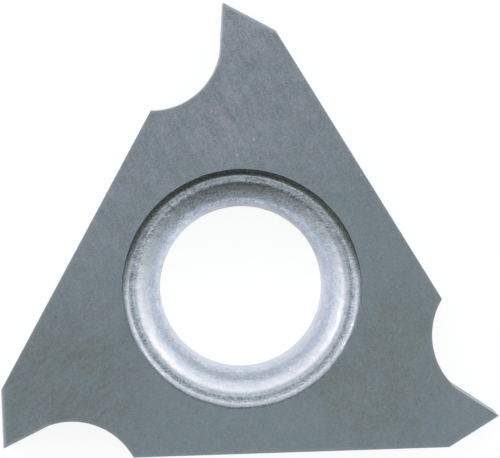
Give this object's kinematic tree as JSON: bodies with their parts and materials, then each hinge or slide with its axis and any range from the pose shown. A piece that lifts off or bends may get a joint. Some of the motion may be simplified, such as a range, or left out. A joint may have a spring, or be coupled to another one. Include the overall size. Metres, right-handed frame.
{
  "type": "carbide insert",
  "caption": "Flat triangular cemented-carbide cutting insert with hooked corners, ground flanks, round gullets and a recessed screw hole with a rounded seat.",
  "frame": {"origin": "on the axis of the screw hole, in the plane of the back face", "axes": "+Z along the screw hole's axis, out of the recessed face; +Y towards one corner; +X parallel to the long side opposite that corner"},
  "size_m": [0.0144, 0.0131, 0.0032],
  "materials": {
    "carbide": "fine ground, uncoated, with the screw hole left as sintered"
  },
  "bodies": {
    "root": {"carbide_insert": "carbide"}
  },
  "joints": []
}
